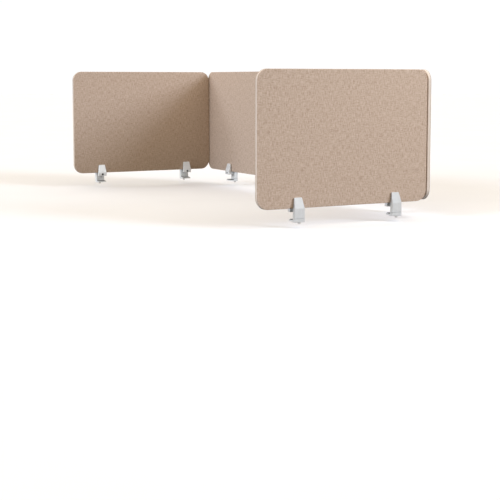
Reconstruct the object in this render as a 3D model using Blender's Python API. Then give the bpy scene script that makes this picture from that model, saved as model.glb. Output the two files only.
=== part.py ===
"""Desk privacy panels: three clamp-on screens around the left, back and right of a desk.

World frame, in metres: +X runs along the desk from left to right, +Y from the user to the
back, and +Z up. The origin is on the desktop, in the middle of the back panel's inner face.

Each clamp and each panel is built in its own local frame and placed by an empty. There, +x
runs along the panel, +y points outward, away from the desk, y = 0 is the panel's outer face,
and z = 0 is the desktop.
"""

from math import cos, pi, radians, sin

import bmesh
import bpy
from mathutils import Vector

# ---- driving dimensions, in metres ----
GAP = 0.0003  # running clearance between pieces that touch

PANEL_HEIGHT = 0.406
SIDE_PANEL_WIDTH = 0.600
BACK_PANEL_WIDTH = 1.524
PANEL_THICKNESS = 0.012
PANEL_CLEARANCE = 0.012  # from the desktop to the panel's bottom edge
CORNER_RADIUS = 0.036
CORNER_JOINT_GAP = 0.003  # between a side panel's rear edge and the back panel
EDGE_BAND_WIDTH = 0.0018
EDGE_BAND_ROUND = 0.0006
FABRIC_THICKNESS = 0.0012

CLAMP_WIDTH = 0.034
CLAMP_TOP_WIDTH = 0.0255
CLAMP_TOP = 0.044  # above the desktop
SHOULDER = 0.012  # the height at which the clamp starts to taper
LINER_THICKNESS = 0.0012
LEG_DEPTH = 0.0142
CHEEK_TIP_DEPTH = 0.0037
INNER_CHEEK_DEPTH = 0.0122
DESK_THICKNESS = 0.020  # of the desk that the clamps are closed on
SEAM_DEPTH = 0.017  # the parting line between the body and the lower jaw
CLAMP_BOTTOM = 0.028  # below the desktop
JAW_REACH = 0.020  # of the lower jaw, inward from the panel's outer face
JAW_TIP_RISE = 0.0022
JAW_PAD_THICKNESS = 0.0014
EDGE_BREAK = 0.0008

TONGUE_WIDTH = 0.012
TONGUE_END = 0.0193  # inward from the panel's outer face
RIB_WIDTH = 0.0112
RIB_DEPTH = 0.0035
RIB_TOP = 0.003  # below the desktop

BOLT_RADIUS = 0.0024
BOLT_HEAD_RADIUS = 0.0040
BOLT_HEAD_HEIGHT = 0.0032
JAW_HEAD_RADIUS = 0.0043
JAW_HEAD_HEIGHT = 0.0050
SOCKET_ACROSS_CORNERS = 0.0046
SOCKET_DEPTH = 0.0019
CHEEK_BOLT_HEIGHT = 0.0062  # above the desktop
CHEEK_BOLT_LENGTH = 0.0150
JAW_BOLT_TIP = 0.002  # above the desktop
BLIND_HOLE_SPARE = 0.004

# Where each clamp sits along its panel, as a part of the panel's width.
LEFT_CLAMP_STATIONS = {"front": 0.190, "rear": 0.820}
RIGHT_CLAMP_STATIONS = {"front": 0.224, "rear": 0.800}
BACK_CLAMP_STATIONS = {"left": 0.130, "right": 0.870}

# ---- derived dimensions ----
LEG_INNER = GAP * 2 + LINER_THICKNESS
LEG_OUTER = LEG_INNER + LEG_DEPTH
CHEEK_INNER = -PANEL_THICKNESS - LEG_INNER
CHEEK_OUTER = CHEEK_INNER - INNER_CHEEK_DEPTH
HOLE_RADIUS = BOLT_RADIUS + GAP
JAW_BOLT_Y = (LEG_INNER + RIB_DEPTH + LEG_OUTER) / 2 + GAP
TONGUE_TOP = PANEL_CLEARANCE - GAP
PAD_TOP = -DESK_THICKNESS - GAP / 2
FLANGE_TOP = PAD_TOP - JAW_PAD_THICKNESS - GAP

# ---- mesh resolution ----
CORNER_STEPS = 10
CIRCLE_STEPS = 20
BREAK_STEPS = 2
SHARP_EDGE = 30  # degrees between two faces
CUTTER_OVERSHOOT = 0.002
CUT_TOLERANCE = 1e-6

Y_AXIS = Vector((0, 1, 0))
Z_AXIS = Vector((0, 0, 1))


def clear_scene():
    """Remove every object, so that the model starts from an empty scene."""
    for obj in list(bpy.data.objects):
        bpy.data.objects.remove(obj)


# ---- materials ----
def principled(name, colour, roughness, metallic=0.0):
    """A Principled BSDF material with one colour, roughness and metallic value."""
    material = bpy.data.materials.new(name)
    material.use_nodes = True
    shader = material.node_tree.nodes["Principled BSDF"]
    shader.inputs["Base Color"].default_value = (*colour, 1.0)
    shader.inputs["Roughness"].default_value = roughness
    shader.inputs["Metallic"].default_value = metallic
    material.diffuse_color = (*colour, 1.0)
    return material


def fabric_material():
    return principled("heathered_fabric", (0.52, 0.41, 0.32), 0.92)


def edge_band_material():
    return principled("edge_band", (0.80, 0.69, 0.58), 0.50)


def core_material():
    return principled("core_board", (0.45, 0.33, 0.22), 0.85)


def aluminium_material():
    return principled("satin_aluminium", (0.62, 0.63, 0.63), 0.38, 1.0)


def dark_steel_material():
    return principled("dark_steel", (0.06, 0.06, 0.065), 0.40, 1.0)


def bright_steel_material():
    return principled("bright_steel", (0.55, 0.55, 0.56), 0.30, 1.0)


def liner_material():
    return principled("rubber_liner", (0.10, 0.10, 0.10), 0.80)


# ---- mesh building ----
def new_object(name, bm, material, parent=None, location=(0, 0, 0)):
    """Turn a bmesh into a named object with one material, under a parent."""
    bmesh.ops.recalc_face_normals(bm, faces=bm.faces)
    mesh = bpy.data.meshes.new(name)
    bm.to_mesh(mesh)
    bm.free()
    if material is not None:
        mesh.materials.append(material)
    obj = bpy.data.objects.new(name, mesh)
    bpy.context.scene.collection.objects.link(obj)
    obj.parent = parent
    obj.location = location
    return obj


def prism(outline, direction):
    """A bmesh of a flat outline of 3D points pushed along a direction, capped at both ends."""
    bm = bmesh.new()
    face = bm.faces.new([bm.verts.new(point) for point in outline])
    pushed = bmesh.ops.extrude_face_region(bm, geom=[face])["geom"]
    moved = [item for item in pushed if isinstance(item, bmesh.types.BMVert)]
    bmesh.ops.translate(bm, vec=direction, verts=moved)
    bmesh.ops.recalc_face_normals(bm, faces=bm.faces)
    return bm


def box(low, high):
    """A bmesh of the box between two corners."""
    (x0, y0, z0), (x1, y1, z1) = low, high
    outline = [(x0, y0, z0), (x1, y0, z0), (x1, y1, z0), (x0, y1, z0)]
    return prism(outline, (0, 0, z1 - z0))


def side_prism(profile, width):
    """A side profile of (y, z) points, made as wide as width about x = 0."""
    outline = [(-width / 2, y, z) for y, z in profile]
    return prism(outline, (width, 0, 0))


def cylinder(radius, start, direction, steps=CIRCLE_STEPS):
    """A bmesh of a round bar from a start point along a direction."""
    ring = [2 * pi * (i + 0.5) / steps for i in range(steps)]
    turn = Z_AXIS.rotation_difference(Vector(direction)).to_matrix()
    start = Vector(start)
    outline = [start + turn @ Vector((radius * cos(a), radius * sin(a), 0)) for a in ring]
    return prism(outline, direction)


def rounded_outline(width, height, radius):
    """(x, z) points around a rectangle with round corners, centred in x and standing on z = 0."""
    points = []
    corners = (
        (width / 2 - radius, radius, -90),
        (width / 2 - radius, height - radius, 0),
        (radius - width / 2, height - radius, 90),
        (radius - width / 2, radius, 180),
    )
    for centre_x, centre_z, start in corners:
        for step in range(CORNER_STEPS + 1):
            angle = radians(start + 90 * step / CORNER_STEPS)
            points.append((centre_x + radius * cos(angle), centre_z + radius * sin(angle)))
    return points


def board(width, inset, near, far):
    """A panel layer: the panel's outline drawn in by an inset, from depth near to depth far."""
    outline = rounded_outline(
        width - 2 * inset, PANEL_HEIGHT - 2 * inset, CORNER_RADIUS - inset
    )
    lift = PANEL_CLEARANCE + inset
    return prism([(x, near, z + lift) for x, z in outline], (0, far - near, 0))


def keep_below(bm, point, normal):
    """Cut off what lies beyond a plane, and close the cut."""
    everything = bm.verts[:] + bm.edges[:] + bm.faces[:]
    cut = bmesh.ops.bisect_plane(
        bm, geom=everything, dist=CUT_TOLERANCE, plane_co=point, plane_no=normal,
        clear_outer=True,
    )
    edges = [item for item in cut["geom_cut"] if isinstance(item, bmesh.types.BMEdge)]
    bmesh.ops.edgeloop_fill(bm, edges=edges)
    bmesh.ops.recalc_face_normals(bm, faces=bm.faces)


def taper_sides(bm):
    """Lean both sides of a clamp piece in, from the shoulder up to the top."""
    lean = (CLAMP_WIDTH - CLAMP_TOP_WIDTH) / 2
    rise = CLAMP_TOP - SHOULDER
    for side in (-1, 1):
        point = (side * CLAMP_WIDTH / 2, 0, SHOULDER)
        keep_below(bm, point, (side * rise, 0, lean))


def plane_edges(bm):
    """Plane a small flat along every sharp edge of a convex shape."""
    cuts = []
    for edge in bm.edges:
        turn = edge.calc_face_angle()
        if turn < radians(SHARP_EDGE):
            continue
        normal = (edge.link_faces[0].normal + edge.link_faces[1].normal).normalized()
        cuts.append((edge.verts[0].co - EDGE_BREAK * sin(turn / 2) * normal, normal))
    for point, normal in cuts:
        keep_below(bm, point, normal)


def break_edges(obj, width=EDGE_BREAK, angle=SHARP_EDGE):
    """Round the sharp edges of an object by a small width."""
    bevel = obj.modifiers.new("edge_break", "BEVEL")
    bevel.width = width
    bevel.segments = BREAK_STEPS
    bevel.limit_method = "ANGLE"
    bevel.angle_limit = radians(angle)


def combine(obj, bm, operation):
    """Add a Boolean of a helper shape to an object. The helper stays hidden."""
    helper = new_object(f"{obj.name}.helper", bm, None, obj.parent, obj.location)
    helper.hide_render = True
    helper.display_type = "WIRE"
    boolean = obj.modifiers.new(operation.lower(), "BOOLEAN")
    boolean.object = helper
    boolean.operation = operation
    boolean.solver = "EXACT"


# ---- clamp pieces ----
def clamp_body(name, parent, material):
    """The outer cheek and leg in one piece, with the tongue that carries the panel's weight."""
    profile = [
        (LEG_INNER, -SEAM_DEPTH),
        (LEG_OUTER, -SEAM_DEPTH),
        (LEG_OUTER, SHOULDER),
        (LEG_INNER + CHEEK_TIP_DEPTH, CLAMP_TOP),
        (LEG_INNER, CLAMP_TOP),
    ]
    bm = side_prism(profile, CLAMP_WIDTH)
    taper_sides(bm)
    plane_edges(bm)
    obj = new_object(name, bm, material, parent)
    half_tongue = TONGUE_WIDTH / 2
    tongue_root = LEG_INNER + RIB_DEPTH / 2
    tongue = box((-half_tongue, -TONGUE_END, 0), (half_tongue, tongue_root, TONGUE_TOP))
    combine(obj, tongue, "UNION")
    groove = box(
        (-half_tongue, LEG_INNER - CUTTER_OVERSHOOT, -SEAM_DEPTH - CUTTER_OVERSHOOT),
        (half_tongue, LEG_INNER + RIB_DEPTH + GAP * 2, -RIB_TOP + GAP * 3),
    )
    combine(obj, groove, "DIFFERENCE")
    jaw_hole_start = (0, JAW_BOLT_Y, -SEAM_DEPTH - CUTTER_OVERSHOOT)
    jaw_hole_top = JAW_BOLT_TIP + BLIND_HOLE_SPARE
    jaw_hole_length = jaw_hole_top - jaw_hole_start[2]
    combine(obj, cylinder(HOLE_RADIUS, jaw_hole_start, (0, 0, jaw_hole_length)), "DIFFERENCE")
    cheek_hole_start = (0, -TONGUE_END - CUTTER_OVERSHOOT, CHEEK_BOLT_HEIGHT)
    cheek_hole_length = CHEEK_BOLT_LENGTH + CUTTER_OVERSHOOT
    combine(obj, cylinder(HOLE_RADIUS, cheek_hole_start, (0, cheek_hole_length, 0)), "DIFFERENCE")
    return obj


def inner_cheek(name, parent, material):
    """The loose cheek that stands on the desktop and pinches the panel against the body."""
    profile = [
        (CHEEK_INNER, 0),
        (CHEEK_INNER, CLAMP_TOP),
        (CHEEK_INNER - CHEEK_TIP_DEPTH, CLAMP_TOP),
        (CHEEK_OUTER, SHOULDER),
        (CHEEK_OUTER, 0),
    ]
    bm = side_prism(profile, CLAMP_WIDTH)
    taper_sides(bm)
    plane_edges(bm)
    obj = new_object(name, bm, material, parent)
    half_pocket = TONGUE_WIDTH / 2 + GAP
    pocket = box(
        (-half_pocket, -TONGUE_END - GAP, -CUTTER_OVERSHOOT),
        (half_pocket, CHEEK_INNER + CUTTER_OVERSHOOT, TONGUE_TOP + GAP * 2),
    )
    combine(obj, pocket, "DIFFERENCE")
    through_start = (0, CHEEK_OUTER - CUTTER_OVERSHOOT, CHEEK_BOLT_HEIGHT)
    through_length = INNER_CHEEK_DEPTH + CUTTER_OVERSHOOT
    combine(obj, cylinder(HOLE_RADIUS, through_start, (0, through_length, 0)), "DIFFERENCE")
    recess_length = BOLT_HEAD_HEIGHT + GAP * 2 + CUTTER_OVERSHOOT
    recess_radius = BOLT_HEAD_RADIUS + GAP
    combine(obj, cylinder(recess_radius, through_start, (0, recess_length, 0)), "DIFFERENCE")
    return obj


def lower_jaw(name, parent, material):
    """The L-shaped jaw that closes under the desk, with the rib that guides it in the leg."""
    top = -SEAM_DEPTH - GAP
    profile = [
        (LEG_OUTER, top),
        (LEG_OUTER, -CLAMP_BOTTOM),
        (LEG_INNER, -CLAMP_BOTTOM),
        (-JAW_REACH, -CLAMP_BOTTOM + JAW_TIP_RISE),
        (-JAW_REACH, FLANGE_TOP),
        (LEG_INNER, FLANGE_TOP),
        (LEG_INNER, top),
    ]
    obj = new_object(name, side_prism(profile, CLAMP_WIDTH), material, parent)
    break_edges(obj)
    rib = box(
        (-RIB_WIDTH / 2, LEG_INNER + GAP, top - (CLAMP_BOTTOM - SEAM_DEPTH) / 2),
        (RIB_WIDTH / 2, LEG_INNER + RIB_DEPTH, -RIB_TOP),
    )
    combine(obj, rib, "UNION")
    hole_start = (0, JAW_BOLT_Y, -CLAMP_BOTTOM - CUTTER_OVERSHOOT)
    hole_length = CLAMP_BOTTOM - SEAM_DEPTH + 2 * CUTTER_OVERSHOOT
    combine(obj, cylinder(HOLE_RADIUS, hole_start, (0, 0, hole_length)), "DIFFERENCE")
    return obj


def socket_bolt(name, parent, material, location, into, head_radius, head_height, length):
    """A cap screw whose origin is on its axis, under its head. It points along `into`."""
    into = Vector(into)
    obj = new_object(
        name, cylinder(head_radius, -head_height * into, head_height * into), material, parent,
        location,
    )
    break_edges(obj, EDGE_BREAK / 2, angle=60)
    combine(obj, cylinder(BOLT_RADIUS, -head_height / 2 * into, (length + head_height / 2) * into),
            "UNION")
    socket_start = -(head_height + CUTTER_OVERSHOOT) * into
    socket_length = SOCKET_DEPTH + CUTTER_OVERSHOOT
    socket = cylinder(SOCKET_ACROSS_CORNERS / 2, socket_start, socket_length * into, steps=6)
    combine(obj, socket, "DIFFERENCE")
    return obj


def cheek_bolt(name, parent, material):
    """The level bolt that draws the inner cheek towards the body."""
    seat = CHEEK_OUTER + BOLT_HEAD_HEIGHT + GAP
    return socket_bolt(
        name, parent, material, (0, seat, CHEEK_BOLT_HEIGHT), Y_AXIS,
        BOLT_HEAD_RADIUS, BOLT_HEAD_HEIGHT, CHEEK_BOLT_LENGTH,
    )


def jaw_bolt(name, parent, material):
    """The upright bolt that pulls the lower jaw up under the desk."""
    seat = -CLAMP_BOTTOM - GAP
    return socket_bolt(
        name, parent, material, (0, JAW_BOLT_Y, seat), Z_AXIS,
        JAW_HEAD_RADIUS, JAW_HEAD_HEIGHT, JAW_BOLT_TIP - seat,
    )


def cheek_liner(name, parent, material, near):
    """The soft pad between a cheek and the panel, from depth near outward."""
    inset = 3 * EDGE_BREAK
    base = PANEL_CLEARANCE + EDGE_BAND_WIDTH
    top = CLAMP_TOP - inset
    half_base = CLAMP_WIDTH / 2 - inset
    half_top = CLAMP_TOP_WIDTH / 2 - inset
    outline = [(-half_base, base), (half_base, base), (half_top, top), (-half_top, top)]
    bm = prism([(x, near, z) for x, z in outline], (0, LINER_THICKNESS, 0))
    return new_object(name, bm, material, parent)


def jaw_pad(name, parent, material):
    """The soft pad on the lower jaw that bears on the desk's underside."""
    inset = 3 * EDGE_BREAK
    half_width = CLAMP_WIDTH / 2 - inset
    low = (-half_width, -JAW_REACH + inset, PAD_TOP - JAW_PAD_THICKNESS)
    high = (half_width, -EDGE_BREAK, PAD_TOP)
    return new_object(name, box(low, high), material, parent)


def build_clamp(place, origin, turn, materials):
    """One clamp of eight pieces, under an empty at its place on the desk's edge."""
    empty = bpy.data.objects.new(f"clamp_{place}", None)
    bpy.context.scene.collection.objects.link(empty)
    empty.location = origin
    empty.rotation_euler = (0, 0, turn)
    stem = f"clamp_{place}"
    clamp_body(f"{stem}_body", empty, materials["aluminium"])
    inner_cheek(f"{stem}_inner_cheek", empty, materials["aluminium"])
    lower_jaw(f"{stem}_lower_jaw", empty, materials["aluminium"])
    cheek_bolt(f"{stem}_cheek_bolt", empty, materials["dark_steel"])
    jaw_bolt(f"{stem}_jaw_bolt", empty, materials["bright_steel"])
    inner_liner = -PANEL_THICKNESS - GAP - LINER_THICKNESS
    cheek_liner(f"{stem}_inner_pad", empty, materials["liner"], inner_liner)
    cheek_liner(f"{stem}_outer_pad", empty, materials["liner"], GAP)
    jaw_pad(f"{stem}_jaw_pad", empty, materials["liner"])


# ---- panel pieces ----
def edge_band(name, parent, material, width, near, far):
    """The band around a panel's whole edge, from depth near to depth far."""
    obj = new_object(name, board(width, 0, near, far), material, parent)
    break_edges(obj, EDGE_BAND_ROUND, angle=60)
    opening = board(width, EDGE_BAND_WIDTH, near - CUTTER_OVERSHOOT, far + CUTTER_OVERSHOOT)
    combine(obj, opening, "DIFFERENCE")
    return obj


def build_panel(side, width, origin, turn, materials):
    """One panel of four pieces: a core board in its edge band, and a fabric face on each side."""
    empty = bpy.data.objects.new(f"{side}_panel", None)
    bpy.context.scene.collection.objects.link(empty)
    empty.location = origin
    empty.rotation_euler = (0, 0, turn)
    buried = FABRIC_THICKNESS + GAP
    inner, outer = -PANEL_THICKNESS, 0
    layers = {
        "outer_face": (0, outer - FABRIC_THICKNESS, outer, materials["fabric"]),
        "core": (EDGE_BAND_WIDTH + GAP, inner + buried, outer - buried, materials["core"]),
        "inner_face": (0, inner, inner + FABRIC_THICKNESS, materials["fabric"]),
    }
    for layer, (inset, near, far, material) in layers.items():
        new_object(f"{side}_{layer}", board(width, inset, near, far), material, empty)
    band = materials["edge_band"]
    edge_band(f"{side}_edge_band", empty, band, width, inner + buried, outer - buried)


# ---- assembly ----
def side_origin(side, along):
    """A point on a side panel's outer face, at a distance from its front edge."""
    front = -CORNER_JOINT_GAP - SIDE_PANEL_WIDTH
    return (side * BACK_PANEL_WIDTH / 2, front + along, 0)


def main():
    """Build the three panels and their six clamps."""
    clear_scene()
    materials = {
        "fabric": fabric_material(),
        "edge_band": edge_band_material(),
        "core": core_material(),
        "aluminium": aluminium_material(),
        "dark_steel": dark_steel_material(),
        "bright_steel": bright_steel_material(),
        "liner": liner_material(),
    }
    back_plane = PANEL_THICKNESS
    build_panel("back", BACK_PANEL_WIDTH, (0, back_plane, 0), 0, materials)
    for place, station in BACK_CLAMP_STATIONS.items():
        x = (station - 0.5) * BACK_PANEL_WIDTH
        build_clamp(f"back_{place}", (x, back_plane, 0), 0, materials)
    sides = (("left", -1, LEFT_CLAMP_STATIONS), ("right", 1, RIGHT_CLAMP_STATIONS))
    for name, side, stations in sides:
        turn = -side * pi / 2
        middle = side_origin(side, SIDE_PANEL_WIDTH / 2)
        build_panel(name, SIDE_PANEL_WIDTH, middle, turn, materials)
        for place, station in stations.items():
            origin = side_origin(side, station * SIDE_PANEL_WIDTH)
            build_clamp(f"{name}_{place}", origin, turn, materials)
    bpy.context.view_layer.update()


main()
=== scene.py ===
"""Three clamp-on privacy screens for a desk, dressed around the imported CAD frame.

Every piece is worked out in the local frame of its screen or clamp and then placed in the
row frame. In a local frame +x runs along the screen, +y points outward, away from the desk,
y = 0 is the screen's outer face and z = 0 is the desktop. All lengths are in metres.
"""
import sys
import logging
import math
from dataclasses import dataclass, replace
from enum import Enum
from functools import cache
from typing import Callable, Optional, Sequence

import bpy
import numpy as np
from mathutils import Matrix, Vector


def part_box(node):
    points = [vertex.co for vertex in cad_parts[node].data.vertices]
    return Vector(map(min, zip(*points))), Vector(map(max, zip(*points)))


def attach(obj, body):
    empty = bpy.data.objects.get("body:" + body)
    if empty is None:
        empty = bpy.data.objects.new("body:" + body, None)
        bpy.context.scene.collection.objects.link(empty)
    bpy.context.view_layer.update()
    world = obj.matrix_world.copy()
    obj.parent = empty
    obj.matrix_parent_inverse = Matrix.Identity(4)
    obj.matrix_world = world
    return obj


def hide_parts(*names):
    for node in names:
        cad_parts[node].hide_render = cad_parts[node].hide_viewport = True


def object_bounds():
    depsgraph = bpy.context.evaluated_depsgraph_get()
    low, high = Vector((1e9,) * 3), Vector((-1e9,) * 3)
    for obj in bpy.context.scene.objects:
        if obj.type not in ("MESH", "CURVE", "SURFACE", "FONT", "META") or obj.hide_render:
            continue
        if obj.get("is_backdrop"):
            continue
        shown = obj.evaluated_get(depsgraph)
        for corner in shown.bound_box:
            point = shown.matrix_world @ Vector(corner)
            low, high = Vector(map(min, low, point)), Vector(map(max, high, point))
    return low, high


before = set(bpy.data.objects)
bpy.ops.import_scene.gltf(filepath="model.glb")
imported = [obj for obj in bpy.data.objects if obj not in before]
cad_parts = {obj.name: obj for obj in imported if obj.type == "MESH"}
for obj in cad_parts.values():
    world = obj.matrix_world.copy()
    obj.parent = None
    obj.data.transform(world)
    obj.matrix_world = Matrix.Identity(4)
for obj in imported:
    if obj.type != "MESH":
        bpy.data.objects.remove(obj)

Array = np.ndarray
Piece = bpy.types.Object
Material = bpy.types.Material
Socket = bpy.types.NodeSocket
Colour = tuple[float, float, float]
Corner = tuple[float, float, float]

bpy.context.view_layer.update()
TAU = 2 * math.pi
LOG = logging.getLogger("desk_screens")


class Side(Enum):
    """The three edges of the desk that carry a screen."""

    LEFT = "left"
    BACK = "back"
    RIGHT = "right"

    @property
    def turn(self) -> float:
        """The angle about +z that turns the local frame into the row frame."""
        return {Side.LEFT: math.pi / 2, Side.BACK: 0.0, Side.RIGHT: -math.pi / 2}[self]


class Facing(Enum):
    """The two faces of a screen: towards the user of the desk, or away."""

    INNER = "inner"
    OUTER = "outer"


@dataclass(frozen=True)
class Placement:
    """A local frame's origin in the row frame, and its turn about +z."""

    origin: tuple[float, float, float]
    turn: float

    def to_row(self, points: Array) -> Array:
        """Turn local points about +z and move them to the origin.

        Args:
            points: local points, of shape (..., 3).

        Returns:
            The same points in the row frame.
        """
        c, s = math.cos(self.turn), math.sin(self.turn)
        x, y, z = np.moveaxis(points, -1, 0)
        return np.stack([c * x - s * y, s * x + c * y, z], axis=-1) + np.array(self.origin)

    def to_local(self, points: Array) -> Array:
        """Undo to_row.

        Args:
            points: points in the row frame, of shape (..., 3).

        Returns:
            The same points in the local frame.
        """
        back = Placement((0.0, 0.0, 0.0), -self.turn)
        return back.to_row(points - np.array(self.origin))

    def local_box(self, node: str) -> tuple[Array, Array]:
        """The lowest and highest local corner of a CAD node.

        Args:
            node: the CAD node's name.

        Returns:
            Its lowest and highest corner in this local frame.
        """
        corners = self.to_local(np.array([tuple(corner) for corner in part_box(node)]))
        return corners.min(axis=0), corners.max(axis=0)

    def moved(self, along: float) -> "Placement":
        """A placement further along local x, with the same turn."""
        origin = self.to_row(np.array([along, 0.0, 0.0]))
        return Placement(tuple(float(v) for v in origin), self.turn)


# ---- surfaces ----
def grid_faces(rows: int, columns: int, wrap_rows: bool, wrap_columns: bool) -> Array:
    """Quads of a grid of vertices numbered row by row.

    Args:
        rows: the number of rows of vertices.
        columns: the number of vertices in a row.
        wrap_rows: whether the last row joins the first.
        wrap_columns: whether the last column joins the first.

    Returns:
        Four vertex numbers for each quad.
    """
    down = np.arange(rows if wrap_rows else rows - 1)[:, None]
    across = np.arange(columns if wrap_columns else columns - 1)[None, :]
    next_down, next_across = (down + 1) % rows, (across + 1) % columns
    corners = [
        down * columns + across,
        down * columns + next_across,
        next_down * columns + next_across,
        next_down * columns + across,
    ]
    return np.stack(corners, axis=-1).reshape(-1, 4)


def signed_volume(points: Array, faces: Sequence[Sequence[int]]) -> float:
    """Volume inside a closed mesh, negative when its faces point inward.

    Args:
        points: vertices, of shape (n, 3).
        faces: vertex numbers of each face.

    Returns:
        The sum over a fan of triangles of a . (b x c) / 6.
    """
    fans = [(f[0], f[i], f[i + 1]) for f in faces for i in range(1, len(f) - 1)]
    a, b, c = points[np.array(fans)].transpose(1, 0, 2)
    return float((a * np.cross(b, c)).sum() / 6)



def new_piece(name: str, points: Array, faces: Sequence[Sequence[int]]) -> Piece:
    """A mesh object at the origin, made of points in the row frame.

    Args:
        name: the piece's name.
        points: vertices in the row frame, of shape (n, 3).
        faces: vertex numbers of each face.

    Returns:
        The linked object.
    """
    mesh = bpy.data.meshes.new(name)
    mesh.from_pydata(points.tolist(), [], [list(map(int, face)) for face in faces])
    mesh.update()
    piece = bpy.data.objects.new(name, mesh)
    bpy.context.scene.collection.objects.link(piece)
    return piece


def closed_piece(name: str, rings: Array, place: Placement, wrap: bool = False) -> Piece:
    """A closed skin over a stack of rings, with flat ends unless the stack wraps round.

    Args:
        name: the piece's name.
        rings: local points, of shape (rings, points in a ring, 3).
        place: where the local frame lies.
        wrap: whether the last ring joins the first.

    Returns:
        The linked object, with its faces outward.
    """
    rows, columns = rings.shape[:2]
    faces = grid_faces(rows, columns, wrap, True).tolist()
    if not wrap:
        last = (rows - 1) * columns
        faces += [list(range(columns))[::-1], list(range(last, last + columns))]
    points = place.to_row(rings).reshape(-1, 3)
    if signed_volume(points - points.mean(axis=0), faces) < 0:
        faces = [face[::-1] for face in faces]
    return new_piece(name, points, faces)


def filleted(corners: Sequence[Corner], steps: int = 4) -> tuple[Array, Array]:
    """An outline whose corners are arcs.

    An arc of radius r at a corner that turns by t starts r tan(t / 2) before the corner. Its
    centre lies a radius to the inner side there, and its points swing about that centre by t.

    Args:
        corners: (a, b, radius) of each corner, anticlockwise.
        steps: chords in each arc.

    Returns:
        The outline's points and its outward normals, each of shape (n, 2).
    """
    places = np.array([corner[:2] for corner in corners])
    arcs, normals = [], []
    for i, (_, _, radius) in enumerate(corners):
        ahead = places[(i + 1) % len(corners)] - places[i]
        behind = places[i] - places[i - 1]
        before, after = behind / np.linalg.norm(behind), ahead / np.linalg.norm(ahead)
        turn = math.atan2(
            before[0] * after[1] - before[1] * after[0], float(before @ after)
        )
        left = np.array([-before[1], before[0]])
        start = places[i] - before * radius * math.tan(abs(turn) / 2)
        bend = math.copysign(radius, turn)
        swing = np.linspace(0.0, turn, steps + 1)[:, None]
        out = -left * np.cos(swing) + before * np.sin(swing)
        arcs.append(start + left * bend + out * bend)
        normals.append(out)
    return np.concatenate(arcs), np.concatenate(normals)


def swept_slab(
    outline: Array,
    normals: Array,
    half_width: float,
    edge_round: float,
    taper: Optional[Callable[[Array], Array]] = None,
    steps: int = 4,
) -> Array:
    """Rings of a slab: a side outline swept along x, with both rims rounded.

    On each rim, at an angle a from 0 to a quarter turn, the outline is drawn in by
    r (1 - sin a) and stands r (1 - cos a) inside the slab's end. A taper then scales x by the
    share of the full width that is left at each height.

    Args:
        outline: (y, z) points of the side outline.
        normals: its outward normals.
        half_width: half of the slab's width.
        edge_round: the rims' radius r.
        taper: gives the share of the width at each height z.
        steps: chords in each rim's rounding.

    Returns:
        Local points, of shape (rings, points in a ring, 3).
    """
    angle = np.linspace(0.0, math.pi / 2, steps + 1)
    inset = edge_round * (1 - np.sin(angle))
    stand = edge_round * (1 - np.cos(angle)) - half_width
    inset = np.concatenate([inset, inset[::-1]])
    stand = np.concatenate([stand, -stand[::-1]])
    flat = outline[None] - normals[None] * inset[:, None, None]
    across = np.broadcast_to(stand[:, None], flat.shape[:2])
    if taper is not None:
        across = across * taper(flat[..., 1])
    return np.concatenate([across[..., None], flat], axis=-1)


def bar_rings(radius: float, start: float, end: float, steps: int = 40) -> Array:
    """Two rings of a plain round bar along its own z axis.

    Args:
        radius: the bar's radius.
        start: the height of its first end.
        end: the height of its last end.
        steps: sides of the bar.

    Returns:
        Points of shape (2, steps, 3).
    """
    angle = np.arange(steps) * TAU / steps
    across = [radius * np.cos(angle), radius * np.sin(angle)]
    return np.stack([np.stack([*across, np.full(steps, z)], axis=-1) for z in (start, end)])


def box_rings(low: Corner, high: Corner) -> Array:
    """Two square rings of a plain block, stacked along x.

    Args:
        low: its lowest corner.
        high: its highest corner.

    Returns:
        Points of shape (2, 4, 3).
    """
    ring = [(low[1], low[2]), (high[1], low[2]), (high[1], high[2]), (low[1], high[2])]
    return np.array([[(x, y, z) for y, z in ring] for x in (low[0], high[0])])


def lay_along_y(rings: Array, centre_z: float) -> Array:
    """Turn a bar from its own z axis to local +y, at a height."""
    return np.stack([rings[..., 1], rings[..., 2], rings[..., 0] + centre_z], axis=-1)


def combine(piece: Piece, tool: Piece, operation: str) -> None:
    """Cut a tool shape out of a piece, or join it on, and keep the result as the mesh.

    Args:
        piece: the piece to change.
        tool: the other shape, which is removed afterwards.
        operation: UNION or DIFFERENCE.
    """
    modifier = piece.modifiers.new("combine", "BOOLEAN")
    modifier.object, modifier.operation, modifier.solver = tool, operation, "EXACT"
    bpy.context.view_layer.update()
    graph = bpy.context.evaluated_depsgraph_get()
    result = bpy.data.meshes.new_from_object(piece.evaluated_get(graph))
    piece.modifiers.clear()
    spare, piece.data = piece.data, result
    result.name = piece.name
    bpy.data.meshes.remove(spare)
    bpy.data.objects.remove(tool)


def smooth(piece: Piece, crease: float = 32.0) -> None:
    """Shade a piece smooth but for its sharp edges, and keep its flats flat.

    Args:
        piece: the piece to shade.
        crease: the angle between two faces, in degrees, from which their edge is sharp.
    """
    mesh = piece.data
    mesh.polygons.foreach_set("use_smooth", np.ones(len(mesh.polygons), bool))
    mesh.set_sharp_from_angle(angle=math.radians(crease))
    even = piece.modifiers.new("even_normals", "WEIGHTED_NORMAL")
    even.keep_sharp = True
    mesh.update()


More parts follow.
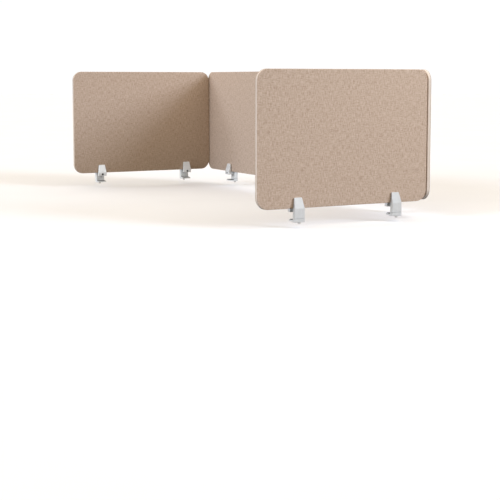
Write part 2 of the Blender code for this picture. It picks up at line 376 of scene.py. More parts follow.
# ---- finishes ----
class Wiring:
    """A node tree while it is being wired."""

    def __init__(self, tree: bpy.types.NodeTree) -> None:
        """Take up a tree."""
        self.tree = tree

    def node(
        self, kind: str, inputs: Optional[dict] = None, **settings: object
    ) -> bpy.types.ShaderNode:
        """Add a node, set its properties and fill its inputs.

        Args:
            kind: the node's type, without its prefix.
            inputs: a value or a socket for each input, by name or number.
            settings: the node's properties.

        Returns:
            The node.
        """
        made = self.tree.nodes.new(f"ShaderNode{kind}")
        for key, value in settings.items():
            setattr(made, key, value)
        for key, value in (inputs or {}).items():
            if isinstance(value, Socket):
                self.link(value, made.inputs[key])
            else:
                made.inputs[key].default_value = value
        return made

    def link(self, out: Socket, into: Socket) -> None:
        """Join two sockets."""
        self.tree.links.new(out, into)

    def ranged(self, value: Socket, low: float, high: float, kind: str = "LINEAR") -> Socket:
        """A value's place between two bounds, from 0 to 1."""
        inputs = {"Value": value, "From Min": low, "From Max": high}
        return self.node("MapRange", inputs, interpolation_type=kind).outputs["Result"]

    def mixed(self, share: Socket, first: "Socket | Colour", second: "Socket | Colour") -> Socket:
        """Mix two colours, by the share of the second one.

        Args:
            share: how much of the second colour shows, from 0 to 1.
            first: a colour or a socket that gives one.
            second: a colour or a socket that gives one.

        Returns:
            The mixed colour's socket.
        """
        a, b = (c if isinstance(c, Socket) else (*c, 1.0) for c in (first, second))
        inputs = {"Factor": share, "A": a, "B": b}
        made = self.node("Mix", inputs, data_type="RGBA", clamp_result=False)
        return made.outputs["Result"]


class Shader(Wiring):
    """A Principled material while it is being wired."""

    def __init__(self, name: str, roughness: float, metallic: float = 0.0) -> None:
        """Start a material.

        Args:
            name: the material's name.
            roughness: the roughness all over.
            metallic: how metallic it is all over.
        """
        self.material = bpy.data.materials.new(name)
        self.material.use_nodes = True
        super().__init__(self.material.node_tree)
        self.surface = self.tree.nodes["Principled BSDF"]
        self.surface.inputs["Roughness"].default_value = roughness
        self.surface.inputs["Metallic"].default_value = metallic

    def stretched(self, source: Socket, scale: Corner) -> Socket:
        """Coordinates scaled along each axis."""
        return self.node("Mapping", {"Vector": source, "Scale": scale}).outputs["Vector"]

    def noise(self, source: Socket, scale: float, detail: float, rough: float = 0.5) -> Socket:
        """A noise value from 0 to 1 over some coordinates."""
        inputs = {"Vector": source, "Scale": scale, "Detail": detail, "Roughness": rough}
        return self.node("TexNoise", inputs).outputs["Fac"]

    def math(self, operation: str, *terms: "Socket | float") -> Socket:
        """One sum on its terms, each a value or a number."""
        return self.node("Math", dict(enumerate(terms)), operation=operation).outputs[0]

    def ramp(self, value: Socket, stops: Sequence[tuple[float, Colour]]) -> Socket:
        """A colour looked up along a row of stops.

        Args:
            value: the place along the row.
            stops: the place and the colour of each stop.

        Returns:
            The colour's socket.
        """
        made = self.node("ValToRGB", {"Fac": value})
        elements = made.color_ramp.elements
        while len(elements) < len(stops):
            elements.new(0.5)
        for element, (position, colour) in zip(elements, stops):
            element.position = position
            element.color = (*colour, 1.0)
        return made.outputs["Color"]

    def bump(self, height: Socket, strength: float, distance: float) -> None:
        """Raise the surface by a height value."""
        made = self.node("Bump", {"Height": height, "Strength": strength, "Distance": distance})
        self.link(made.outputs["Normal"], self.surface.inputs["Normal"])


@dataclass(frozen=True)
class HeatheredCloth:
    """Plain-woven beige cloth of mixed light and dark yarns."""

    pale: Colour = (0.600, 0.492, 0.405)
    middle: Colour = (0.505, 0.398, 0.316)
    deep: Colour = (0.385, 0.287, 0.214)
    yarn: float = 0.0013
    mottle: float = 0.0045
    slub: float = 0.0022
    slub_length: float = 0.016
    roughness: float = 0.92
    sheen: float = 0.18
    sheen_roughness: float = 0.45
    specular: float = 0.22
    weft_share: float = 0.7
    mottle_share: float = 0.8
    darken: float = -0.75
    weave_share: float = 0.5
    relief: tuple[float, float] = (0.35, 0.00025)

    @cache
    def material(self) -> Material:
        """Wire the cloth.

        The colour is a sum of three noises on the sheet's own map, in metres: broad mottling,
        and slubs drawn out along the weft and along the warp. The relief is
        sin(2 pi u / p) sin(2 pi v / p), the over and under of a plain weave of yarn pitch p.

        Returns:
            The finished material.
        """
        shader = Shader("heathered_cloth", self.roughness)
        shader.surface.inputs["Sheen Weight"].default_value = self.sheen
        shader.surface.inputs["Sheen Roughness"].default_value = self.sheen_roughness
        shader.surface.inputs["Specular IOR Level"].default_value = self.specular
        sheet_map = shader.node("UVMap", uv_map="sheet").outputs["UV"]
        mottle = shader.noise(sheet_map, 1 / self.mottle, 3.0, 0.7)
        weft_map = shader.stretched(sheet_map, (1 / self.slub_length, 1 / self.slub, 1.0))
        warp_map = shader.stretched(sheet_map, (1 / self.slub, 1 / self.slub_length, 1.0))
        weft = shader.noise(weft_map, 1.0, 1.0)
        warp = shader.noise(warp_map, 1.0, 1.0)
        slubs = shader.math("MULTIPLY_ADD", weft, self.weft_share, warp)
        heather = shader.math("MULTIPLY_ADD", mottle, self.mottle_share, slubs)
        value = shader.math("ADD", heather, self.darken)
        stops = ((0.18, self.deep), (0.5, self.middle), (0.84, self.pale))
        shader.link(shader.ramp(value, stops), shader.surface.inputs["Base Color"])
        split = shader.node("SeparateXYZ", {0: sheet_map})
        over = shader.math("SINE", shader.math("MULTIPLY", split.outputs[0], TAU / self.yarn))
        under = shader.math("SINE", shader.math("MULTIPLY", split.outputs[1], TAU / self.yarn))
        weave = shader.math("MULTIPLY", over, under)
        shader.bump(shader.math("MULTIPLY_ADD", weave, self.weave_share, slubs), *self.relief)
        return shader.material


@dataclass(frozen=True)
class SatinAluminium:
    """Silver clamp castings with a fine blasted and lacquered surface."""

    light: Colour = (0.645, 0.667, 0.677)
    shade: Colour = (0.583, 0.605, 0.615)
    roughness: float = 0.42
    metallic: float = 0.50
    wear: float = 0.16

    @cache
    def material(self) -> Material:
        """Wire the casting: grain in colour, roughness and height at two scales.

        Returns:
            The finished material.
        """
        shader = Shader("satin_silver", self.roughness, self.metallic)
        place = shader.node("TexCoord").outputs["Object"]
        cloud = shader.noise(place, 60.0, 4.0, 0.6)
        stops = ((0.3, self.shade), (0.72, self.light))
        shader.link(shader.ramp(cloud, stops), shader.surface.inputs["Base Color"])
        grain = shader.noise(place, 2600.0, 2.0)
        worn = shader.math("MULTIPLY_ADD", grain, self.wear, self.roughness - self.wear / 2)
        shader.link(worn, shader.surface.inputs["Roughness"])
        shader.bump(grain, 0.14, 0.0001)
        return shader.material


@dataclass(frozen=True)
class MottledFinish:
    """A finish with a mottle between two tones and a fine relief."""

    name: str
    light: Colour
    shade: Colour
    roughness: float
    mottle: tuple[float, float, float]
    relief: tuple[float, float]
    grain: Optional[tuple[float, float]] = None
    metallic: float = 0.0
    specular: float = 0.5
    squeeze: Optional[Corner] = None

    @cache
    def material(self) -> Material:
        """Wire the finish.

        The colour is a noise of the mottle's scale, detail and roughness. The relief has a
        strength and a depth. It is a finer noise of the grain's scale and detail, or else the
        mottle itself. A squeeze scales the mottle's coordinates along each axis.

        Returns:
            The finished material.
        """
        shader = Shader(self.name, self.roughness, self.metallic)
        shader.surface.inputs["Specular IOR Level"].default_value = self.specular
        place = shader.node("TexCoord").outputs["Object"]
        squeezed = shader.stretched(place, self.squeeze) if self.squeeze else place
        mottle = shader.noise(squeezed, *self.mottle)
        stops = ((0.3, self.shade), (0.7, self.light))
        shader.link(shader.ramp(mottle, stops), shader.surface.inputs["Base Color"])
        shader.bump(shader.noise(place, *self.grain) if self.grain else mottle, *self.relief)
        return shader.material


CREAM_EDGING = MottledFinish(
    "cream_edging", (0.67, 0.595, 0.525), (0.62, 0.545, 0.475), 0.46,
    mottle=(22.0, 3.0, 0.55), relief=(0.10, 0.0002), grain=(1500.0, 2.0), specular=0.4,
)
BLACK_STEEL = MottledFinish(
    "blackened_steel", (0.075, 0.075, 0.08), (0.04, 0.04, 0.043), 0.38,
    mottle=(420.0, 3.0, 0.65), relief=(0.12, 0.0001), grain=(3200.0, 1.0), metallic=0.9,
)
BRIGHT_STEEL = replace(
    BLACK_STEEL, name="bright_steel", light=(0.66, 0.66, 0.66), shade=(0.50, 0.50, 0.51),
    roughness=0.28,
)
LINER_RUBBER = MottledFinish(
    "liner_rubber", (0.085, 0.083, 0.080), (0.050, 0.049, 0.048), 0.82,
    mottle=(180.0, 3.0, 0.6), relief=(0.2, 0.0002), grain=(1800.0, 2.0),
)
RAW_BOARD = MottledFinish(
    "raw_board", (0.48, 0.36, 0.25), (0.36, 0.26, 0.17), 0.88,
    mottle=(320.0, 4.0, 0.7), relief=(0.2, 0.0003), squeeze=(1.0, 1.0, 3.0),
)


CLOTH = HeatheredCloth()
SILVER = SatinAluminium()


def dress(piece: Piece, finish: Material, slot: str, body: str, *nodes: str) -> Piece:
    """Give a piece its finish, its body and the CAD nodes that it stands for.

    Args:
        piece: the finished piece.
        finish: its material.
        slot: the record's material slot; not used.
        body: the CAD body that it rides on.
        nodes: the CAD nodes that it replaces.

    Returns:
        The piece.
    """
    piece.data.materials.clear()
    piece.data.materials.append(finish)
    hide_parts(*nodes)
    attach(piece, body)
    triangles = sum(len(face.vertices) - 2 for face in piece.data.polygons)
    LOG.info("%s rides on %s, %d triangles", piece.name, body, triangles)
    return piece


# ---- the screens ----
@dataclass
class Screen:
    """One screen: a core board, cloth on both faces and an edging round the rim."""

    side: Side
    corner_radius: float = 0.036
    edging_width: float = 0.0018
    edging_round: float = 0.0006
    edging_crown: float = 0.00025
    edging_root_round: float = 0.0002
    cloth_thickness: float = 0.0008
    cloth_tuck: float = 0.0012
    cloth_round: float = 0.0014
    cloth_pitch: float = 0.012
    corner_steps: int = 16
    rim_steps: int = 14

    def __post_init__(self) -> None:
        """Read the screen's size and place from its CAD faces and edging."""
        low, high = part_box(f"{self.side.value}_outer_face")
        middle = (low + high) / 2
        outer = {
            Side.LEFT: (low.x, middle.y, 0.0),
            Side.BACK: (middle.x, high.y, 0.0),
            Side.RIGHT: (high.x, middle.y, 0.0),
        }[self.side]
        self.place = Placement(outer, self.side.turn)
        near, far = self.place.local_box(f"{self.side.value}_outer_face")
        self.width, _, self.height = (far - near).tolist()
        self.bottom = float(near[2])
        near, _ = self.place.local_box(f"{self.side.value}_inner_face")
        self.thickness = -float(near[1])
        near, far = self.place.local_box(f"{self.side.value}_edge_band")
        self.edging_near, self.edging_far = float(near[1]), float(far[1])

    @property
    def body(self) -> str:
        """The CAD body of the screen."""
        return f"{self.side.value}_panel"

    def outline(self) -> tuple[Array, Array]:
        """(x, z) points and outward normals round the screen.

        Returns:
            The points and the normals, each of shape (n, 2).
        """
        half, low, high = self.width / 2, self.bottom, self.bottom + self.height
        corners = [(-half, low), (half, low), (half, high), (-half, high)]
        return filleted([(x, z, self.corner_radius) for x, z in corners], self.rim_steps)

    def edging_profile(self) -> tuple[Array, Array]:
        """The edging's section, as depths in from the rim and places across the thickness.

        Returns:
            Insets from the rim and local y places, anticlockwise. The rim is an arc
            that stands proud of its ends by the crown.
        """
        near, far = self.edging_near, self.edging_far
        wide, soft = self.edging_width, self.edging_round
        corners = [
            (0.0, near, soft),
            (wide, near, self.edging_root_round),
            (wide, far, self.edging_root_round),
            (0.0, far, soft),
        ]
        section, _ = filleted(corners, 6)
        inset, across = section[:, 0], section[:, 1]
        off_centre = (2 * across - near - far) / (far - near)
        shallow = np.clip(1 - inset / wide, 0.0, 1.0)
        return inset + self.edging_crown * off_centre**2 * shallow, across

    def build_edging(self) -> None:
        """Carry the edging's section round the rim: rim point minus normal times inset."""
        rim, normals = self.outline()
        inset, across = self.edging_profile()
        flat = rim[:, None] - normals[:, None] * inset[None, :, None]
        depth = np.broadcast_to(across[None, :], flat.shape[:2])
        rings = np.stack([flat[..., 0], depth, flat[..., 1]], axis=-1)
        name = f"{self.side.value}_edging"
        piece = closed_piece(name, rings, self.place, wrap=True)
        smooth(piece, 50.0)
        dress(piece, CREAM_EDGING.material(), "edge_band", self.body, f"{self.side.value}_edge_band")

    def eased(self, half: float, ends: Array) -> Array:
        """Places from -half to half: the given steps in from both ends, and even between.

        Args:
            half: half of the length.
            ends: the steps' distances from an end, rising from 0.

        Returns:
            The places, rising.
        """
        inner = half - ends[-1]
        even = np.linspace(-inner, inner, 2 * math.ceil(inner / self.cloth_pitch) + 1)
        return np.concatenate([-half + ends[:-1], even, half - ends[-2::-1]])

    def build_cloth(self, facing: Facing) -> None:
        """Stretch cloth over one face.

        The sheet is a grid over a rectangle with round corners: at height z the half-width is
        w - r + sqrt(r^2 - d^2), where d is how far z reaches into the corners. Its rows lie at
        even angles round the corners. At a distance s from the rim, the cloth has turned in by
        t (1 - sqrt(1 - (1 - s / q)^2)) over the last q of its width, down to the edging.

        Args:
            facing: the face to cover.
        """
        half_w, half_h, radius = self.width / 2, self.height / 2, self.corner_radius
        turn = np.linspace(math.pi / 2, 0.0, self.corner_steps + 1)
        z = self.eased(half_h, radius * (1 - np.sin(turn)))
        reach = np.clip(np.abs(z) - (half_h - radius), 0.0, radius)
        half_at = half_w - radius + np.sqrt(radius**2 - reach**2)
        roll = self.cloth_round * np.array([0.0, 0.1, 0.25, 0.45, 0.7, 1.0, 1.7, 2.9, 5.0, 8.0])
        u = self.eased(half_w, roll) / half_w
        x = half_at[:, None] * u[None, :]
        z = np.broadcast_to(z[:, None], x.shape)
        over_x, over_z = np.abs(x) - (half_w - radius), np.abs(z) - (half_h - radius)
        outside = np.hypot(np.maximum(over_x, 0), np.maximum(over_z, 0))
        to_edge = radius - outside - np.minimum(np.maximum(over_x, over_z), 0)
        share = np.clip(1 - np.maximum(to_edge, 0) / self.cloth_round, 0.0, 1.0)
        turned = self.cloth_tuck * (1 - np.sqrt(1 - share**2))
        outward = facing is Facing.OUTER
        y = -turned if outward else turned - self.thickness
        middle = self.bottom + self.height / 2
        local = np.stack([x, y, z + middle], axis=-1)
        rows, columns = x.shape
        faces = grid_faces(rows, columns, False, False)
        faces = faces[:, ::-1] if outward else faces
        name = f"{self.side.value}_{facing.value}_cloth"
        piece = new_piece(name, self.place.to_row(local).reshape(-1, 3), faces.tolist())
        self.map_sheet(piece, x, z, facing)
        thicken = piece.modifiers.new("cloth_thickness", "SOLIDIFY")
        thicken.thickness, thicken.offset = self.cloth_thickness, -1.0
        piece.data.polygons.foreach_set("use_smooth", np.ones(len(piece.data.polygons), bool))
        node = f"{self.side.value}_{facing.value}_face"
        dress(piece, CLOTH.material(), "heathered_fabric", self.body, node)

    def map_sheet(self, piece: Piece, x: Array, z: Array, facing: Facing) -> None:
        """Lay the sheet's own map in metres, shifted so that no two sheets match.

        Args:
            piece: the sheet.
            x: local x of each vertex.
            z: height of each vertex from the screen's middle.
            facing: the face that it covers.
        """
        shift = 3.7 * list(Side).index(self.side) + 1.9 * list(Facing).index(facing)
        flat = np.stack([x.ravel() + shift, z.ravel() + shift], axis=-1)
        layer = piece.data.uv_layers.new(name="sheet")
        corner = np.empty(len(piece.data.loops), int)
        piece.data.loops.foreach_get("vertex_index", corner)
        layer.data.foreach_set("uv", flat[corner].ravel())

    def build(self) -> None:
        """Make every piece of the screen and finish its core board."""
        self.build_edging()
        for facing in Facing:
            self.build_cloth(facing)
        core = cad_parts[f"{self.side.value}_core"]
        core.data.materials.clear()
        core.data.materials.append(RAW_BOARD.material())
        LOG.info("%s screen is %.3f m wide", self.side.value, self.width)


# ---- the clamps ----
@dataclass(frozen=True)
class Screw:
    """A cap screw with a hexagon socket and a cut thread, along its own z axis."""

    head_radius: float
    head_height: float
    shank_radius: float
    length: float
    socket_radius: float = 0.0023
    socket_depth: float = 0.0019
    pitch: float = 0.0008
    thread_depth: float = 0.00035
    rim: float = 0.0005
    chamfer: float = 0.0002
    socket_dish: float = 0.0004
    socket_lip: float = 0.00015
    lead_in: float = 0.0012
    tip_taper: float = 0.0006
    around: int = 48
    rows_per_turn: int = 6

    def rings(self) -> Array:
        """Rings from the socket's floor, over the head, down the thread to the tip.

        The socket's radius at an angle t is a / cos((t mod 60) - 30) degrees, with a the
        distance from its middle to a flat. The thread's radius is the shank's less the cut's
        depth times the distance of (z / pitch - t / 360) from a whole number, doubled.

        Returns:
            Points of shape (rings, around, 3). z = 0 is under the head and +z the shank's way.
        """
        angle = np.arange(self.around) * TAU / self.around
        flat = self.socket_radius * math.cos(math.pi / 6)
        hexagon = flat / np.cos((angle % (TAU / 6)) - TAU / 12)
        top = -self.head_height
        arc = np.linspace(0.0, math.pi / 2, 5)
        rows: list[tuple[Array, float]] = [
            (hexagon * 0.02, top + self.socket_depth + self.socket_dish),
            (hexagon * 0.96, top + self.socket_depth),
            (hexagon, top + self.socket_depth - 0.0001),
            (hexagon, top + self.socket_lip),
            (hexagon * 1.05, top),
        ]
        crown = self.head_radius - self.rim
        rows += [
            (np.full(self.around, crown + self.rim * math.sin(a)), top + self.rim * (1 - math.cos(a)))
            for a in arc
        ]
        rows += [(np.full(self.around, self.head_radius), -self.chamfer)]
        rows += [(np.full(self.around, self.head_radius - self.chamfer), 0.0)]
        rows += [(np.full(self.around, self.shank_radius), 0.0)]
        start, end = self.lead_in, self.length - self.tip_taper
        levels = np.linspace(start, end, int((end - start) / self.pitch * self.rows_per_turn))
        phase = levels[:, None] / self.pitch - angle[None, :] / TAU
        groove = 2 * np.abs(phase - np.round(phase))
        fade = np.clip(np.minimum(levels - start, end - levels) / self.pitch, 0.0, 1.0)
        cut = self.thread_depth * groove * fade[:, None]
        rows += [(self.shank_radius - depth, float(z)) for depth, z in zip(cut, levels)]
        rows += [(np.full(self.around, self.shank_radius - self.tip_taper), self.length)]
        radii = np.array([radius for radius, _ in rows])
        heights = np.array([height for _, height in rows])
        across = [radii * np.cos(angle), radii * np.sin(angle)]
        return np.stack([*across, np.broadcast_to(heights[:, None], radii.shape)], axis=-1)


@dataclass
class Clamp:
    """One screw clamp: a body, a loose inner cheek and a lower jaw, each drawn up by a screw."""

    spot: str
    screen: Screen
    shoulder: float = 0.012
    top_width: float = 0.0255
    tip_depth: float = 0.0037
    edge_round: float = 0.0011
    bolt_radius: float = 0.0024
    bolt_play: float = 0.0003
    bolt_height: float = 0.0062
    head_radius: float = 0.0040
    head_height: float = 0.0032
    jaw_head_radius: float = 0.0043
    jaw_head_height: float = 0.0050
    flange_tip: float = 0.0022
    rib_top: float = 0.003
    pad_rib: float = 0.0016
    pad_relief: float = 0.00018
    pad_inset: float = 0.0024
    shoulder_round: float = 0.010
    tip_round: float = 0.0014
    flange_round: float = 0.004
    heel_round: float = 0.0018
    inside_round: float = 0.0006
    tongue_half: float = 0.006
    tongue_round: float = 0.0007
    tongue_rim: float = 0.0005
    fine_round: float = 0.0003
    hidden_round: float = 0.0002
    groove_depth: float = 0.0041
    groove_headroom: float = 0.0009
    rib_half: float = 0.0056
    rib_depth: float = 0.0035
    rib_root: float = 0.005
    jaw_hole_top: float = 0.006
    cheek_hole_length: float = 0.015
    overlap: float = 0.002

    def __post_init__(self) -> None:
        """Read the clamp's place and extents from its CAD nodes."""
        low, high = self.screen.place.local_box(self.node("body"))
        self.place = self.screen.place.moved(float(low[0] + high[0]) / 2)
        low, high = self.box("body")
        self.width = float(high[0] - low[0])
        self.seam, self.top = float(low[2]), float(high[2])
        self.leg_outer, self.tongue_end = float(high[1]), float(low[1])
        _, liner = self.box("outer_pad")
        self.leg_inner = float(liner[1]) + self.bolt_play
        cheek_low, cheek_high = self.box("inner_cheek")
        self.cheek_outer, self.cheek_inner = float(cheek_low[1]), float(cheek_high[1])
        jaw_low, _ = self.box("lower_jaw")
        self.jaw_end, self.jaw_bottom = float(jaw_low[1]), float(jaw_low[2])
        pad_low, _ = self.box("jaw_pad")
        self.flange_top = float(pad_low[2]) - self.bolt_play
        low, high = self.box("jaw_bolt")
        self.jaw_bolt_y = float(low[1] + high[1]) / 2

    def node(self, part: str) -> str:
        """The CAD node of one part of this clamp."""
        return f"clamp_{self.spot}_{part}"

    def box(self, part: str) -> tuple[Array, Array]:
        """The lowest and highest corner of one part, in this clamp's place."""
        return self.place.local_box(self.node(part))

    def taper(self, z: Array) -> Array:
        """The share of the width at each height: full to the shoulder, then evenly less."""
        rise = np.clip((z - self.shoulder) / (self.top - self.shoulder), 0.0, 1.0)
        return 1 - (1 - self.top_width / self.width) * rise

    def slab(
        self,
        name: str,
        corners: Sequence[Corner],
        half: float,
        rim: float,
        steps: int,
        taper: Optional[Callable[[Array], Array]] = None,
    ) -> Piece:
        """A side outline with round corners, swept across the clamp.

        Args:
            name: the piece's name.
            corners: (y, z, radius) of each corner.
            half: half of the slab's width.
            rim: the radius along both rims.
            steps: chords in each corner's arc.
            taper: gives the share of the width at each height.

        Returns:
            The linked object.
        """
        return closed_piece(name, swept_slab(*filleted(corners, steps), half, rim, taper), self.place)

    def tool(self, rings: Array) -> Piece:
        """A shape to cut with, in this clamp's place."""
        return closed_piece("tool", rings, self.place)

    def cut_bar(self, piece: Piece, radius: float, start: Corner, end: float) -> None:
        """Bore a round hole along +y or +z.

        Args:
            piece: the piece to bore.
            radius: the hole's radius.
            start: where its axis starts. A start below the seam bores upward, else outward.
            end: the place on that axis where it ends.
        """
        if start[2] < self.seam:
            rings = bar_rings(radius, start[2], end) + np.array([0.0, start[1], 0.0])
        else:
            rings = lay_along_y(bar_rings(radius, start[1], end), start[2])
        combine(piece, self.tool(rings), "DIFFERENCE")

    def build_body(self) -> Piece:
        """The leg and outer cheek, with the tongue under the screen, the groove and both holes.

        Returns:
            The dressed piece.
        """
        soft = self.edge_round
        tip = self.leg_inner + self.tip_depth
        corners = [
            (self.leg_inner, self.seam, soft),
            (self.leg_outer, self.seam, soft),
            (self.leg_outer, self.shoulder, self.shoulder_round),
            (tip, self.top, self.tip_round),
            (self.leg_inner, self.top, soft),
        ]
        name = f"{self.spot}_clamp_body"
        piece = self.slab(name, corners, self.width / 2, soft, 6, self.taper)
        under, root = self.screen.bottom - self.bolt_play, self.leg_inner + self.overlap
        tongue = [
            (self.tongue_end, 0.0, self.tongue_round),
            (root, 0.0, self.hidden_round),
            (root, under, self.hidden_round),
            (self.tongue_end, under, self.tongue_round),
        ]
        combine(piece, self.slab("tool", tongue, self.tongue_half, self.tongue_rim, 4), "UNION")
        below = self.seam - self.overlap
        groove = box_rings(
            (-self.tongue_half, self.leg_inner - self.overlap, below),
            (self.tongue_half, self.leg_inner + self.groove_depth, self.groove_headroom - self.rib_top),
        )
        combine(piece, self.tool(groove), "DIFFERENCE")
        hole = self.bolt_radius + self.bolt_play
        self.cut_bar(piece, hole, (0.0, self.jaw_bolt_y, below), self.jaw_hole_top)
        start = (0.0, self.tongue_end - self.overlap, self.bolt_height)
        self.cut_bar(piece, hole, start, self.tongue_end + self.cheek_hole_length)
        smooth(piece)
        return dress(piece, SILVER.material(), "satin_aluminium", "clamps", self.node("body"))

    def build_cheek(self) -> Piece:
        """The loose inner cheek, with its pocket for the tongue and its recessed hole.

        Returns:
            The dressed piece.
        """
        soft = self.edge_round
        corners = [
            (self.cheek_outer, 0.0, soft),
            (self.cheek_inner, 0.0, soft),
            (self.cheek_inner, self.top, soft),
            (self.cheek_inner - self.tip_depth, self.top, self.tip_round),
            (self.cheek_outer, self.shoulder, self.shoulder_round),
        ]
        name = f"{self.spot}_inner_cheek"
        piece = self.slab(name, corners, self.width / 2, soft, 6, self.taper)
        half, under = self.tongue_half + self.bolt_play, self.screen.bottom + self.bolt_play
        pocket = box_rings(
            (-half, self.tongue_end - self.bolt_play, -self.overlap),
            (half, self.cheek_inner + self.overlap, under),
        )
        combine(piece, self.tool(pocket), "DIFFERENCE")
        start = (0.0, self.cheek_outer - self.overlap, self.bolt_height)
        self.cut_bar(piece, self.bolt_radius + self.bolt_play, start, self.cheek_inner)
        seat = self.cheek_outer + self.head_height + 2 * self.bolt_play
        self.cut_bar(piece, self.head_radius + self.bolt_play, start, seat)
        smooth(piece)
        body = f"{self.spot}_cheek"
        return dress(piece, SILVER.material(), "satin_aluminium", body, self.node("inner_cheek"))

    def build_jaw(self) -> Piece:
        """The lower jaw: an L with a rib that slides in the leg's groove.

        Returns:
            The dressed piece.
        """
        soft, play = self.edge_round, self.bolt_play
        top, root = self.seam - play, self.seam - play - self.rib_root
        corners = [
            (self.leg_outer, top, soft),
            (self.leg_inner, top, soft),
            (self.leg_inner, self.flange_top, self.inside_round),
            (self.jaw_end, self.flange_top, soft),
            (self.jaw_end, self.jaw_bottom + self.flange_tip, soft),
            (self.leg_inner, self.jaw_bottom, self.flange_round),
            (self.leg_outer, self.jaw_bottom, self.heel_round),
        ]
        piece = self.slab(f"{self.spot}_lower_jaw", corners, self.width / 2, soft, 5)
        rib = [
            (self.leg_inner + play, root, self.fine_round),
            (self.leg_inner + self.rib_depth, root, self.fine_round),
            (self.leg_inner + self.rib_depth, -self.rib_top, self.inside_round),
            (self.leg_inner + play, -self.rib_top, self.inside_round),
        ]
        combine(piece, self.slab("tool", rib, self.rib_half, self.fine_round, 4), "UNION")
        start = (0.0, self.jaw_bolt_y, self.jaw_bottom - self.overlap)
        self.cut_bar(piece, self.bolt_radius + play, start, self.seam + self.overlap)
        smooth(piece)
        body = f"{self.spot}_jaw"
        return dress(piece, SILVER.material(), "satin_aluminium", body, self.node("lower_jaw"))

    def build_screw(self, part: str, head: tuple[float, float], finish: MottledFinish) -> None:
        """A screw in its CAD bolt's place: the cheek's lies level, the jaw's stands upright.

        Args:
            part: the bolt's part name.
            head: the radius and height of its head.
            finish: its finish.
        """
        low, high = self.box(f"{part}_bolt")
        level = part == "cheek"
        axis = 1 if level else 2
        seat = float(low[axis]) + head[1]
        rings = Screw(*head, self.bolt_radius, float(high[axis]) - seat).rings()
        if level:
            rings = lay_along_y(rings, self.bolt_height) + np.array([0.0, seat, 0.0])
        else:
            rings = rings + np.array([0.0, self.jaw_bolt_y, seat])
        piece = closed_piece(f"{self.spot}_{part}_screw", rings, self.place)
        smooth(piece)
        slot = "dark_steel" if level else "bright_steel"
        dress(piece, finish.material(), slot, f"{self.spot}_{part}_bolt", self.node(f"{part}_bolt"))

    def build_pad(self, part: str, body: str) -> None:
        """A rubber pad with fine ribs on the face that grips.

        At a distance d along the pad, that face is drawn in by r (1 + cos(2 pi d / p)) / 2,
        with r the ribs' relief and p their pitch. The jaw's pad lies flat, the others stand.

        Args:
            part: the pad's part name.
            body: the CAD body that it rides on.
        """
        low, high = self.box(part)
        lies = part == "jaw_pad"
        along, across = (1, 2) if lies else (2, 1)
        run = np.linspace(low[along], high[along], 80 if lies else 120)
        wave = self.pad_relief * (0.5 + 0.5 * np.cos(TAU * (run - low[along]) / self.pad_rib))
        grips_high = part != "outer_pad"
        plain = np.full_like(run, low[across] if grips_high else high[across])
        ribbed = high[across] - wave if grips_high else low[across] + wave
        outline = np.empty((2 * len(run), 2))
        outline[:, along - 1] = np.concatenate([run, run[::-1]])
        outline[:, across - 1] = np.concatenate([plain, ribbed[::-1]])
        half = float(high[0] - low[0]) / 2 if lies else self.width / 2 - self.pad_inset
        taper = None if lies else self.taper
        rings = swept_slab(outline, np.zeros_like(outline), half, 0.0, taper, 1)
        piece = closed_piece(f"{self.spot}_{part}", rings[1:3], self.place)
        smooth(piece, 40.0)
        dress(piece, LINER_RUBBER.material(), "rubber_liner", body, self.node(part))

    def build(self) -> list[Piece]:
        """Make every piece of the clamp.

        Returns:
            Its three silver castings.
        """
        castings = [
            self.build_body(),
            self.build_cheek(),
            self.build_jaw(),
        ]
        self.build_screw("cheek", (self.head_radius, self.head_height), BLACK_STEEL)
        self.build_screw("jaw", (self.jaw_head_radius, self.jaw_head_height), BRIGHT_STEEL)
        bodies = {
            "inner_pad": f"{self.spot}_cheek",
            "outer_pad": "clamps",
            "jaw_pad": f"{self.spot}_jaw",
        }
        for part, body in bodies.items():
            self.build_pad(part, body)
        return castings


# ---- the studio ----
@dataclass(frozen=True)
class Lamp:
    """A light: the way it shines from, how strong and how soft it is.

    It is a far-off sun with a spread in degrees, or, where it has a place, a square box of
    light that wide in metres, which the camera doesn't see.
    """

    name: str
    towards: Corner
    strength: float
    spread: float
    colour: Colour = (1.0, 1.0, 1.0)
    mirrored: bool = True
    place: Optional[Corner] = None

    def build(self, only: Sequence[Piece] = ()) -> None:
        """Hang the lamp.

        Args:
            only: the pieces that it lights. It lights everything if there are none.
        """
        data = bpy.data.lights.new(self.name, "AREA" if self.place else "SUN")
        data.energy, data.color = self.strength, self.colour
        lamp = bpy.data.objects.new(self.name, data)
        lamp.rotation_mode = "QUATERNION"
        lamp.rotation_quaternion = Vector(self.towards).to_track_quat("Z", "Y")
        lamp.visible_glossy = self.mirrored
        if self.place:
            data.size, lamp.location, lamp.visible_camera = self.spread, self.place, False
        else:
            data.angle = math.radians(self.spread)
        if only:
            group = bpy.data.collections.new(f"lit_by_{self.name}")
            for piece in only:
                group.objects.link(piece)
            lamp.light_linking.receiver_collection = group
        bpy.context.scene.collection.objects.link(lamp)


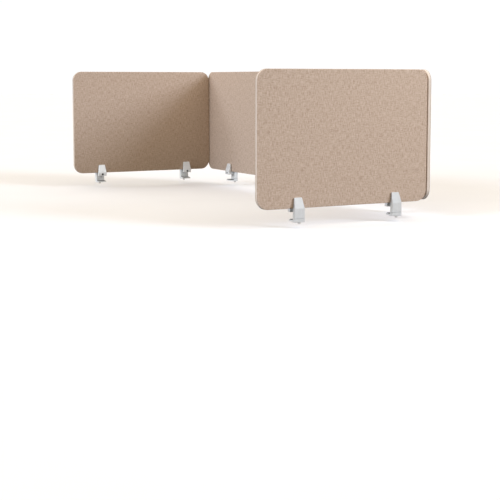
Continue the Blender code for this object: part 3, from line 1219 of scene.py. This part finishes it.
@dataclass(frozen=True)
class Studio:
    """A white floor, soft lights and the camera."""

    floor_reach: float = 30.0
    floor_gap: float = 0.0005
    jaw_travel: float = 0.012
    floor_glow: float = 0.06
    floor_sides: int = 96
    horizon_blur: float = 0.12
    mirrored_full: float = 0.6
    seen: Colour = (1.02, 1.02, 1.02)
    sky: Colour = (0.96, 0.80, 0.60)
    ground: Colour = (0.0, 0.0, 0.0)
    mirrored_low: Colour = (0.62, 0.62, 0.62)
    mirrored_high: Colour = (0.80, 0.80, 0.80)
    camera_place: Corner = (3.6843, -2.2118, 0.3864)
    camera_yaw: float = 61.511
    camera_pitch: float = 5.877
    lens: float = 84.17
    shift_y: float = -0.10
    lamps: tuple[Lamp, ...] = (
        Lamp("key", (1.6, 1.0, 0.60), 1.61, 21.0, (0.90, 1.0, 1.22), False),
        Lamp("fill", (-0.37, -1.0, 0.47), 0.66, 14.0, (0.91, 1.0, 1.18)),
        Lamp("front", (0.05, -1.0, 0.30), 1.37, 24.0, (0.91, 1.0, 1.18)),
    )
    glint: Lamp = Lamp("glint", (0.45, -0.75, 0.35), 2.6, 20.0, (0.98, 1.0, 1.02), False)
    kicker: Lamp = Lamp("kicker", (0.79, 0.5, 0.8), 5.0, 0.6, place=(1.55, 0.30, 1.10))

    def build_floor(self) -> None:
        """A wide round floor just under the opened jaws, a little aglow to keep it white."""
        level = float(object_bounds()[0].z) - self.jaw_travel - self.floor_gap
        angle = np.arange(self.floor_sides) * TAU / self.floor_sides
        rim = np.stack([np.cos(angle), np.sin(angle), 0 * angle], axis=-1) * self.floor_reach
        rim[:, 2] = level
        floor = new_piece("floor", rim, [list(range(self.floor_sides))])
        shader = Shader("white_floor", 0.9)
        shader.surface.inputs["Specular IOR Level"].default_value = 0.0
        shader.surface.inputs["Emission Color"].default_value = (1.0, 1.0, 1.0, 1.0)
        shader.surface.inputs["Emission Strength"].default_value = self.floor_glow
        place = shader.node("TexCoord").outputs["Object"]
        cloud = shader.noise(place, 3.0, 2.0)
        stops = ((0.3, (0.79, 0.83, 0.89)), (0.7, (0.81, 0.85, 0.91)))
        shader.link(shader.ramp(cloud, stops), shader.surface.inputs["Base Color"])
        floor.data.materials.append(shader.material)
        floor.visible_diffuse = False
        floor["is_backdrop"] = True

    def build_world(self) -> None:
        """White for the camera, a grey gradient for reflections, and as light warm from above only."""
        world = bpy.data.worlds.new("white_room")
        bpy.context.scene.world = world
        world.use_nodes = True
        wiring = Wiring(world.node_tree)
        background = wiring.tree.nodes["Background"]
        background.inputs["Strength"].default_value = 1.0
        way = wiring.node("TexCoord").outputs["Generated"]
        up = wiring.node("SeparateXYZ", {0: way}).outputs["Z"]
        height = wiring.ranged(up, -self.horizon_blur, self.horizon_blur, "SMOOTHSTEP")
        light = wiring.mixed(height, self.ground, self.sky)
        lift = wiring.ranged(up, 0.0, self.mirrored_full)
        mirrored = wiring.mixed(lift, self.mirrored_low, self.mirrored_high)
        ray = wiring.node("LightPath").outputs
        glossy = wiring.mixed(ray["Is Glossy Ray"], light, mirrored)
        seen = wiring.mixed(ray["Is Camera Ray"], glossy, self.seen)
        wiring.link(seen, background.inputs["Color"])

    def build_camera(self) -> None:
        """The camera, level with the screens' tops, to the right of the desk's front."""
        data = bpy.data.cameras.new("camera")
        data.lens, data.shift_y = self.lens, self.shift_y
        data.clip_start, data.clip_end = 0.05, 200.0
        camera = bpy.data.objects.new("camera", data)
        camera.location = self.camera_place
        turn = (math.radians(90.0 - self.camera_pitch), 0.0, math.radians(self.camera_yaw))
        camera.rotation_euler = turn
        bpy.context.scene.collection.objects.link(camera)
        bpy.context.scene.camera = camera

    def build(self, shaded: Sequence[Piece]) -> None:
        """Set up the floor, the lights and the camera.

        Args:
            shaded: the silver pieces in the shade of the screens, which get a light of their own.
        """
        bpy.context.scene.view_settings.view_transform = "Standard"
        self.build_floor()
        self.build_world()
        for lamp in self.lamps:
            lamp.build()
        self.glint.build(shaded)
        self.kicker.build()
        self.build_camera()


def main() -> None:
    """Build the screens, then their clamps, then the studio."""
    logging.basicConfig(level=logging.INFO, format="%(message)s", stream=sys.stdout)
    screens = {side: Screen(side) for side in Side}
    for screen in screens.values():
        screen.build()
    spots = {
        "left_front": Side.LEFT,
        "left_rear": Side.LEFT,
        "back_left": Side.BACK,
        "back_right": Side.BACK,
        "right_front": Side.RIGHT,
        "right_rear": Side.RIGHT,
    }
    silver: list[Piece] = []
    for spot, side in spots.items():
        parts = Clamp(spot, screens[side]).build()
        silver += parts if side is not Side.RIGHT else []
    Studio().build(silver)


if __name__ == "__main__":
    main()
